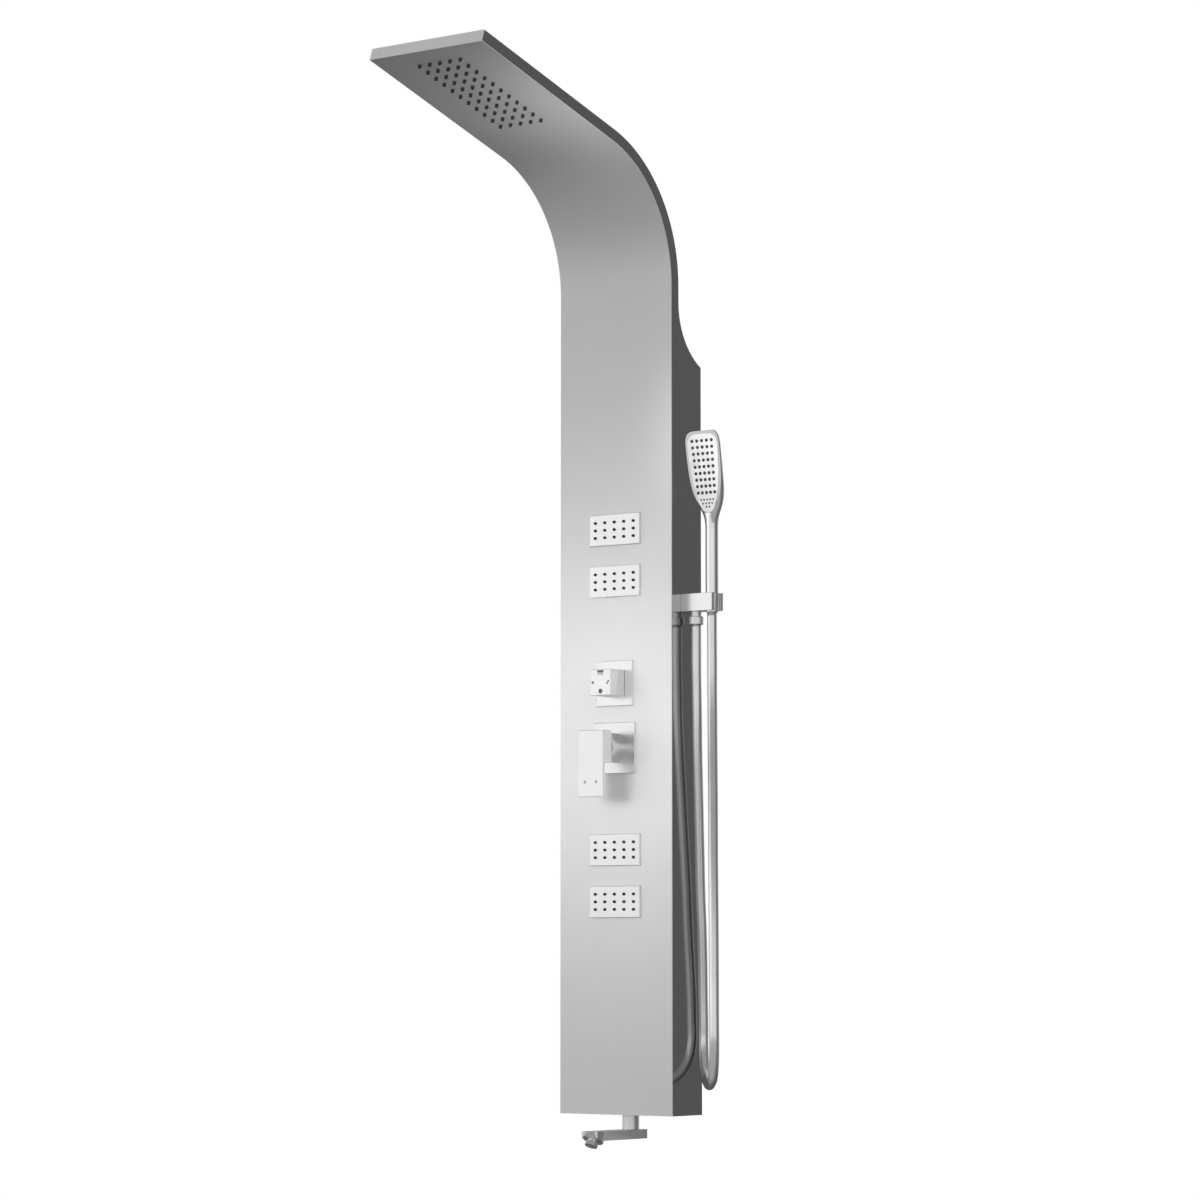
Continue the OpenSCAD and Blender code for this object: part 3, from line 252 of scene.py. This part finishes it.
def studs(name, places, profile, place_at, sides=STUD_SIDES):
    """Round studs in one mesh: places are (x, y, size), and the profile gives each ring's radius and height."""
    points, faces = [], []
    for x, y, size in places:
        first = len(points)
        for radius, height in profile:
            for k in range(sides):
                angle = 2 * math.pi * k / sides
                across, along = size * radius * math.cos(angle), size * radius * math.sin(angle)
                points.append(place_at(x + across, y + along, height))
        for i in range(len(profile) - 1):
            for k in range(sides):
                a, b = first + i * sides + k, first + i * sides + (k + 1) % sides
                faces.append((a, b, b + sides, a + sides))
        faces.append(tuple(range(first, first + sides))[::-1])
        faces.append(tuple(range(len(points) - sides, len(points))))
    return add_mesh(name, points, faces)


# The hand shower's nozzles in mm on the spray face. Their pitch grows by NOZZLE_WIDER from the lowest row to the top.
# A profile is a list of rings, each a radius and a height.
NOZZLE_ROWS = 9
NOZZLE_COLUMNS = range(-2, 3)
NOZZLE_FIRST = 25
NOZZLE_RISE = 9.2
NOZZLE_PITCH = 7.2
NOZZLE_WIDER = 1.3
NOZZLE_PROFILE = [(2.4, 0.3), (2.4, 0.9), (2.1, 1.3), (0.8, 1.3), (0.7, 0.7)]
MIST_ROWS = ((5, 15), (4, 9.8), (2, 4.8))  # how many jets, and how high up the face
MIST_PITCH = 5.3
MIST_PROFILE = [(1.6, 0.3), (1.5, 0.55), (0.5, 0.55), (0.45, 0.4)]
MIST_SIDES = 14


def make_nozzles():
    """The hand shower's rubber nozzles with their collars, and the fine mist jets below them."""
    rows = [(i * (NOZZLE_PITCH + NOZZLE_WIDER * j / (NOZZLE_ROWS - 1)), NOZZLE_FIRST + NOZZLE_RISE * j, 1)
            for j in range(NOZZLE_ROWS) for i in NOZZLE_COLUMNS]
    nozzles = studs("hand_shower_nozzles", rows, NOZZLE_PROFILE, on_face)
    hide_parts("handset_nozzles")
    mist = [((i - (n - 1) / 2) * MIST_PITCH, y, 1) for n, y in MIST_ROWS for i in range(n)]
    jets = studs("hand_shower_mist_jets", mist, MIST_PROFILE, on_face, MIST_SIDES)
    for piece in (nozzles, jets):
        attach(piece, "handset")
    return nozzles, jets


# ---------------------------------------------------------------- rain arm
# part.scad's bend_z, bend_r and bend_turn, which set the rain arm's underside, and its rain field, in mm
BEND_HEIGHT = 1174
BEND_RADIUS = 195
BEND_TURN = math.radians(72.2)
RAIN_COLUMNS = 5
RAIN_ROWS = 11
RAIN_FIRST = 268.5  # from the bend to the row next to the tip
RAIN_PITCH_X = 18.1
RAIN_PITCH_Y = 18.4
RAIN_PROFILE = [(2.6, 0.02), (2.5, 3.6), (2.3, 4.3), (0.9, 4.3), (0.8, 3.5)]


def on_arm(x, y, z):
    """Millimetres on the rain arm's underside: x across, y from the bend to the tip, z out of it."""
    rise = math.pi / 2 - BEND_TURN
    return at(x, BEND_RADIUS * (math.cos(BEND_TURN) - 1) - y * math.cos(rise) - z * math.sin(rise),
              BEND_HEIGHT + BEND_RADIUS * math.sin(BEND_TURN) + y * math.sin(rise) - z * math.cos(rise))


def make_rain_tips():
    """The rain nozzles' full length below the sheet, each over the short one of the CAD mat."""
    places = [((i - (RAIN_COLUMNS - 1) / 2) * RAIN_PITCH_X, RAIN_FIRST - RAIN_PITCH_Y * j, 1)
              for i in range(RAIN_COLUMNS) for j in range(RAIN_ROWS)]
    tips = studs("rain_nozzle_tips", places, RAIN_PROFILE, on_arm)
    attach(tips, "panel")
    return tips


# ---------------------------------------------------------------- signs
# In mm: how far the knob and the lever stand before the sheet, and the heights of their signs' middles
KNOB_FRONT = 35.2
KNOB_HEIGHT = 610
LEVER_FRONT = 58
DOTS_HEIGHT = 468
SIGN_RAISE = 0.1
SIGN_PROFILE = [(1, -SIGN_RAISE), (1, 0.05), (0.95, SIGN_RAISE)]
SIGN_SIDES = 24
KNOB_DOTS = [(-13.7, 0, 2), (12.1, -1.4, 1.5), (14.1, 1.4, 1.5), (0, -12.6, 3.5)]  # x, y and radius
LEVER_DOTS = [(-10, 0, 2.5), (10, 0, 2.5)]
SPRAY_BAR = ((-5.5, 14), (5.5, 17.2))
STREAK_PLACES = (-4.4, -2.2, 0, 2.2, 4.4)
STREAK_HALF = 0.45
STREAK_LOW = 10.6
STREAK_HIGH = 13.6


def on_knob(x, y, z):
    return at(x, -KNOB_FRONT - z, KNOB_HEIGHT + y)


def on_lever(x, y, z):
    return at(x, -LEVER_FRONT - z, DOTS_HEIGHT + y)


def make_signs():
    """The knob's signs for the spray bar, body jets, hand shower and spout, and the lever's two for hot and cold."""
    signs = studs("knob_signs", KNOB_DOTS, SIGN_PROFILE, on_knob, SIGN_SIDES)
    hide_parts("knob_marks")
    bars = [SPRAY_BAR] + [((x - STREAK_HALF, STREAK_LOW), (x + STREAK_HALF, STREAK_HIGH)) for x in STREAK_PLACES]
    points, faces = [], []
    for low, high in bars:
        n = len(points)
        for z in (-SIGN_RAISE, SIGN_RAISE):
            points += [on_knob(x, y, z) for x, y in (low, (high[0], low[1]), high, (low[0], high[1]))]
        faces += [(n, n + 1, n + 2, n + 3), (n + 7, n + 6, n + 5, n + 4)]
        faces += [(n + k, n + 4 + k, n + 4 + (k + 1) % 4, n + (k + 1) % 4) for k in range(4)]
    spray = add_mesh("knob_spray_sign", points, faces)
    spray.data.shade_flat()
    dots = studs("lever_signs", LEVER_DOTS, SIGN_PROFILE, on_lever, SIGN_SIDES)
    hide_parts("lever_dots")
    for piece, body in ((signs, "diverter"), (spray, "diverter"), (dots, "lever")):
        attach(piece, body)
    return signs, spray, dots


# ---------------------------------------------------------------- edges
WELD_WITHIN = 0.000004  # metres
FLAT_WITHIN = math.radians(0.3)
SHARP_FROM = math.radians(35)


def soften(piece, width, segments=2):
    """Rounds a piece's sharp edges by a modifier, or only splits them for shading where the width is nought."""
    for name in ("custom_normal", "sharp_edge", "sharp_face"):
        attribute = piece.data.attributes.get(name)
        if attribute:
            piece.data.attributes.remove(attribute)
    piece.data.shade_smooth()
    weld = piece.modifiers.new("weld", "WELD")
    weld.merge_threshold = WELD_WITHIN
    planes = piece.modifiers.new("planes", "DECIMATE")
    planes.decimate_type = "DISSOLVE"
    planes.angle_limit = FLAT_WITHIN
    if width:
        bevel = piece.modifiers.new("bevel", "BEVEL")
        bevel.width, bevel.segments = width, segments
        bevel.limit_method, bevel.angle_limit = "ANGLE", SHARP_FROM
        bevel.use_clamp_overlap = True
        bevel.harden_normals = True
    else:
        split = piece.modifiers.new("split", "EDGE_SPLIT")
        split.split_angle = SHARP_FROM


# Radius in mm that each CAD solid's outer edges are rounded by
EDGES = {
    "front_panel": 0.5, "side_plate_left": 0.25, "side_plate_right": 0.25, "back_sheet": 0.25, "tip_cap": 0.3,
    "bottom_plate": 0.25, "hanging_rails": 0.3, "wall_bracket_upper": 0.6, "wall_bracket_lower": 0.6,
    "rain_chamber": 0.5, "diverter_body": 1.0, "diverter_knob": 0.3, "lever_block": 0.5, "lever_plate": 0.3,
    "diverter_plate": 0.2, "mixer_plate": 0.2, "jet_plate_1": 0.2, "jet_plate_2": 0.2, "jet_plate_3": 0.2,
    "jet_plate_4": 0.2, "mixer_shroud": 0.4, "fork_bracket": 0.7, "hose_nut": 1.0, "cone_nut": 0.5,
    "spout_stem": 0.5, "spout_bar": 0.6, "aerator_ring": 0.3, "aerator_nozzle": 0.4, "mixer_body": 0.6,
    "jet_housings": 0.5,
}
handset = make_handset()
nozzles, mist_jets = make_nozzles()
rain_tips = make_rain_tips()
knob_signs, spray_sign, lever_signs = make_signs()
for piece in (nozzles, mist_jets, rain_tips, knob_signs, spray_sign, lever_signs):
    soften(piece, 0)
for name, node in nodes.items():
    if not node.hide_render:
        soften(node, EDGES.get(name, 0) / MM)

# ---------------------------------------------------------------- materials
STEEL = (0.87, 0.87, 0.87)
CHROME = (0.9, 0.9, 0.9)
# Stretch of the noise that makes a brushed grain: drawn out upwards, or across
GRAIN_UP = (1, 1, 0.02)
GRAIN_ACROSS = (0.02, 1, 1)
# The share of a noise texture's range that holds nearly all of it
NOISE_LOW = 0.3
NOISE_HIGH = 0.7
# Noise scales per metre: clouds in the roughness, patches in the colour, and the fine grain
METAL_CLOUDS, METAL_PATCHES, METAL_GRAIN = 9, 4, 900
PLASTIC_CLOUDS, PLASTIC_PATCHES, PLASTIC_GRAIN = 30, 60, 2500
METAL_DARKER, PLASTIC_DARKER = 0.97, 0.9
METAL_BUMP, PLASTIC_BUMP = 0.6, 0.3
GRAIN_DETAIL = 2
PLASTIC_VARY = 0.06  # of the roughness
PLASTIC_HEIGHT = 0.00002  # metres of the grain


def shader(name, colour, metallic, roughness):
    """A new material's node tree with its main shader and texture coordinates in object space."""
    material = bpy.data.materials.new(name)
    material.use_nodes = True
    tree = material.node_tree
    main = tree.nodes["Principled BSDF"]
    main.inputs["Base Color"].default_value = (*colour, 1)
    main.inputs["Metallic"].default_value = metallic
    main.inputs["Roughness"].default_value = roughness
    place = tree.nodes.new("ShaderNodeTexCoord").outputs["Object"]
    return material, tree, main, place


def noise(tree, place, scale, stretch=(1, 1, 1), detail=4):
    """Noise over the object, with its grain drawn out along the axes of low stretch."""
    mapping = tree.nodes.new("ShaderNodeMapping")
    mapping.inputs["Scale"].default_value = stretch
    texture = tree.nodes.new("ShaderNodeTexNoise")
    texture.inputs["Scale"].default_value = scale
    texture.inputs["Detail"].default_value = detail
    tree.links.new(place, mapping.inputs["Vector"])
    tree.links.new(mapping.outputs["Vector"], texture.inputs["Vector"])
    return texture.outputs["Fac"]


def spread(tree, value, low, high):
    """A noise value spread over another range."""
    ramp = tree.nodes.new("ShaderNodeMapRange")
    for name, number in (("From Min", NOISE_LOW), ("From Max", NOISE_HIGH), ("To Min", low), ("To Max", high)):
        ramp.inputs[name].default_value = number
    tree.links.new(value, ramp.inputs["Value"])
    return ramp.outputs["Result"]


def tint(tree, value, dark, light):
    """A colour between two by a noise value."""
    mix = tree.nodes.new("ShaderNodeMix")
    mix.data_type = "RGBA"
    mix.inputs["A"].default_value = (*dark, 1)
    mix.inputs["B"].default_value = (*light, 1)
    tree.links.new(value, mix.inputs["Factor"])
    return mix.outputs["Result"]


def bump(tree, main, value, height, strength):
    node = tree.nodes.new("ShaderNodeBump")
    node.inputs["Distance"].default_value = height
    node.inputs["Strength"].default_value = strength
    tree.links.new(value, node.inputs["Height"])
    tree.links.new(node.outputs["Normal"], main.inputs["Normal"])


def metal(name, colour, roughness, vary=0.02, grain=None, grain_height=0.0, metallic=1.0):
    """Metal with soft cloudy wear in its roughness, and a brushed grain where grain gives its stretch."""
    material, tree, main, place = shader(name, colour, metallic, roughness)
    clouds = noise(tree, place, METAL_CLOUDS)
    tree.links.new(spread(tree, clouds, roughness - vary, roughness + vary), main.inputs["Roughness"])
    patches = spread(tree, noise(tree, place, METAL_PATCHES), 0, 1)
    darker = tuple(METAL_DARKER * c for c in colour)
    tree.links.new(tint(tree, patches, darker, colour), main.inputs["Base Color"])
    if grain:
        bump(tree, main, noise(tree, place, METAL_GRAIN, grain, GRAIN_DETAIL), grain_height, METAL_BUMP)
    return material


def plastic(name, colour, roughness):
    """Plastic, rubber or ink with a fine moulded grain."""
    material, tree, main, place = shader(name, colour, 0.0, roughness)
    clouds = noise(tree, place, PLASTIC_CLOUDS)
    rougher = spread(tree, clouds, roughness - PLASTIC_VARY, roughness + PLASTIC_VARY)
    tree.links.new(rougher, main.inputs["Roughness"])
    patches = spread(tree, noise(tree, place, PLASTIC_PATCHES), 0, 1)
    darker = tuple(PLASTIC_DARKER * c for c in colour)
    tree.links.new(tint(tree, patches, darker, colour), main.inputs["Base Color"])
    bump(tree, main, noise(tree, place, PLASTIC_GRAIN), PLASTIC_HEIGHT, PLASTIC_BUMP)
    return material


MATERIALS = {
    "satin_steel": metal("satin_steel", STEEL, 0.5, grain=GRAIN_UP, grain_height=0.00001, metallic=0.42),
    # The polished steel's dark colour partly paints the shade on the side plates; its low roughness is their real
    # polish.
    "polished_steel": metal("polished_steel", (0.5, 0.5, 0.5), 0.13, grain=GRAIN_UP, grain_height=0.000002),
    "bare_steel": metal("bare_steel", (0.55, 0.55, 0.55), 0.3, vary=0.06, grain=GRAIN_ACROSS, grain_height=0.00001),
    "chrome": metal("chrome", CHROME, 0.28),
    "plated_plastic": metal("plated_plastic", (0.88, 0.88, 0.88), 0.12),
    "spray_face": plastic("spray_face", (0.88, 0.88, 0.88), 0.3),
    "nozzle_rubber": plastic("nozzle_rubber", (0.045, 0.045, 0.045), 0.55),
    "housing_plastic": plastic("housing_plastic", (0.75, 0.73, 0.68), 0.5),
    "tube_plastic": plastic("tube_plastic", (0.8, 0.8, 0.8), 0.4),
    "brass": metal("brass", (0.72, 0.55, 0.3), 0.28, vary=0.06),
    "screw_steel": metal("screw_steel", (0.45, 0.45, 0.45), 0.3, vary=0.05),
    "mark_ink": plastic("mark_ink", (0.1, 0.1, 0.1), 0.5),
    "pale_ink": plastic("pale_ink", (0.4, 0.4, 0.4), 0.5),
    "mist_plastic": plastic("mist_plastic", (0.06, 0.06, 0.06), 0.5),
    "hose_skin": metal("hose_skin", (0.9, 0.9, 0.9), 0.24, vary=0.04),
}


def paint(piece, slot):
    piece.data.materials.clear()
    piece.data.materials.append(MATERIALS[slot])


for row in frame["record"]["subparts"]:
    paint(nodes[row["node"]], row["material_slot"])
for piece, finish in (
    (hose, "hose_skin"), (handset, "plated_plastic"), (nozzles, "nozzle_rubber"), (rain_tips, "mist_plastic"),
    (mist_jets, "mist_plastic"), (knob_signs, "mark_ink"), (spray_sign, "mark_ink"), (lever_signs, "pale_ink"),
):
    paint(piece, finish)

# ---------------------------------------------------------------- studio
# Light of the room as metal mirrors it: in front at eye height, higher up and overhead, next to the floor, behind the
# panel, below the horizon behind it, and behind it on the right
ROOM_FRONT = 0.82
ROOM_HIGH = 0.92
ROOM_TOP = 0.3
ROOM_NEAR_FLOOR = 0.38
ROOM_BEHIND = 0.5
ROOM_LOW = 0.1
ROOM_RIGHT = 0.16
# Light of the room on all that is dull, above and below the horizon
ROOM_SOFT = 0.82
ROOM_SOFT_LOW = 0.15
# Directions of the room's parts: an axis, and between which two values along it a level turns into another
HIGH_ZONE = ("Z", 0, 0.25, 0, 1)
TOP_ZONE = ("Z", 0.16, 0.3, 0, 1)
NEAR_FLOOR_ZONE = ("Z", -0.08, 0, 1, 0)
LOW_ZONE = ("Z", -0.3, 0, 1, 0)
BEHIND_ZONE = ("Y", -0.45, 0.55, 0, 1)
RIGHT_ZONES = (("X", 0.2, 0.6, 0, 1), ("Y", -0.35, 0.3, 0, 1))
SOFT_ZONE = ("Z", -0.5, 0, ROOM_SOFT_LOW, ROOM_SOFT)
# Name, place, what it looks at, width, height, radiance, spread in degrees, and whether metal mirrors it
LAMPS = [
    ("key_lamp", (-1.35, -1.85, -0.32), at(0, 0, 420), 1.6, 1.1, 0.06, 80, True),
    ("front_lamp", (-0.05, -1.1, -0.37), at(-10, 0, 550), 0.5, 0.4, 0.86, 44, False),
    ("hand_lamp", (1.2, -4.0, 0.2), at(240, 0, 955), 0.12, 0.12, 3.1, 5, False),
    ("arm_lamp", (0.6, -0.77, -0.4), at(112, -205, 1442), 0.15, 0.15, 1.75, 23, False),
]
FLOOR_HALF = 140  # metres
FLOOR_HEIGHT = -6.5  # low enough for views from below
FLOOR_COLOUR = (0.12, 0.12, 0.12)
FLOOR_ROUGHNESS = 0.8
FLOOR_GLOW = 0.9  # to the camera alone


def make_world():
    """White to the camera. Metal sees a room with walls: light in front, grey behind, dark behind right."""
    world = bpy.data.worlds.new("studio")
    world.use_nodes = True
    bpy.context.scene.world = world
    tree = world.node_tree
    ways = tree.nodes.new("ShaderNodeLightPath")
    sky = tree.nodes.new("ShaderNodeTexCoord").outputs["Generated"]
    split = tree.nodes.new("ShaderNodeSeparateXYZ")
    tree.links.new(sky, split.inputs["Vector"])

    def zone(axis, low, high, level_low, level_high):
        ramp = tree.nodes.new("ShaderNodeMapRange")
        ramp.interpolation_type = "SMOOTHSTEP"
        for name, number in (("From Min", low), ("From Max", high), ("To Min", level_low), ("To Max", level_high)):
            ramp.inputs[name].default_value = number
        tree.links.new(split.outputs[axis], ramp.inputs["Value"])
        return ramp.outputs["Result"]

    def combine(operation, a, b):
        node = tree.nodes.new("ShaderNodeMath")
        node.operation = operation
        for socket, value in zip(node.inputs, (a, b)):
            if isinstance(value, (int, float)):
                socket.default_value = value
            else:
                tree.links.new(value, socket)
        return node.outputs["Value"]

    def layer(factor, under, over):
        kept = combine("MULTIPLY", combine("SUBTRACT", 1, factor), under)
        return combine("ADD", kept, combine("MULTIPLY", factor, over))

    front = layer(zone(*HIGH_ZONE), ROOM_FRONT, ROOM_HIGH)
    front = layer(zone(*TOP_ZONE), front, ROOM_TOP)
    front = layer(zone(*NEAR_FLOOR_ZONE), front, ROOM_NEAR_FLOOR)
    behind = layer(zone(*LOW_ZONE), ROOM_BEHIND, ROOM_LOW)
    right = combine("MULTIPLY", zone(*RIGHT_ZONES[0]), zone(*RIGHT_ZONES[1]))
    room = layer(right, layer(zone(*BEHIND_ZONE), front, behind), ROOM_RIGHT)
    shiny = combine("MAXIMUM", ways.outputs["Is Glossy Ray"], ways.outputs["Is Transmission Ray"])
    level = layer(shiny, zone(*SOFT_ZONE), room)
    level = layer(ways.outputs["Is Camera Ray"], level, 1.0)
    tree.links.new(level, tree.nodes["Background"].inputs["Strength"])
    tree.nodes["Background"].inputs["Color"].default_value = (1, 1, 1, 1)


def make_lamp(name, place, look_at, width, height, radiance, spread_angle, mirrored):
    """Lamp as bright as a surface of that radiance, with its light kept to that angle, and seen in metal or not."""
    lamp = bpy.data.lights.new(name, "AREA")
    lamp.shape = "RECTANGLE"
    lamp.size, lamp.size_y = width, height
    lamp.energy = radiance * math.pi * width * height
    lamp.spread = math.radians(spread_angle)
    piece = bpy.data.objects.new(name, lamp)
    bpy.context.scene.collection.objects.link(piece)
    piece.location = place
    piece.rotation_euler = (Vector(look_at) - Vector(place)).to_track_quat("-Z", "Y").to_euler()
    piece.visible_glossy = mirrored


def make_floor():
    """White to the camera, grey to the lamps' light, and clear to mirrored rays, which see the room's own floor."""
    mesh = bpy.data.meshes.new("floor")
    corners = [(x * FLOOR_HALF, y * FLOOR_HALF, FLOOR_HEIGHT) for x, y in ((-1, -1), (1, -1), (1, 1), (-1, 1))]
    mesh.from_pydata(corners, [], [(0, 1, 2, 3)])
    floor = bpy.data.objects.new("floor", mesh)
    bpy.context.scene.collection.objects.link(floor)
    material, tree, main, _ = shader("floor", FLOOR_COLOUR, 0.0, FLOOR_ROUGHNESS)
    ways = tree.nodes.new("ShaderNodeLightPath")
    glow = tree.nodes.new("ShaderNodeEmission")
    glow.inputs["Strength"].default_value = FLOOR_GLOW
    add = tree.nodes.new("ShaderNodeAddShader")
    switch = tree.nodes.new("ShaderNodeMixShader")
    tree.links.new(main.outputs[0], add.inputs[0])
    tree.links.new(glow.outputs[0], add.inputs[1])
    tree.links.new(ways.outputs["Is Camera Ray"], switch.inputs["Fac"])
    tree.links.new(main.outputs[0], switch.inputs[1])
    tree.links.new(add.outputs[0], switch.inputs[2])
    clear = tree.nodes.new("ShaderNodeBsdfTransparent")
    room = tree.nodes.new("ShaderNodeMixShader")
    tree.links.new(ways.outputs["Is Glossy Ray"], room.inputs["Fac"])
    tree.links.new(switch.outputs[0], room.inputs[1])
    tree.links.new(clear.outputs[0], room.inputs[2])
    tree.links.new(room.outputs[0], tree.nodes["Material Output"].inputs["Surface"])
    floor.data.materials.append(material)


make_world()
for lamp in LAMPS:
    make_lamp(*lamp)
make_floor()
bpy.context.scene.view_settings.view_transform = "Standard"
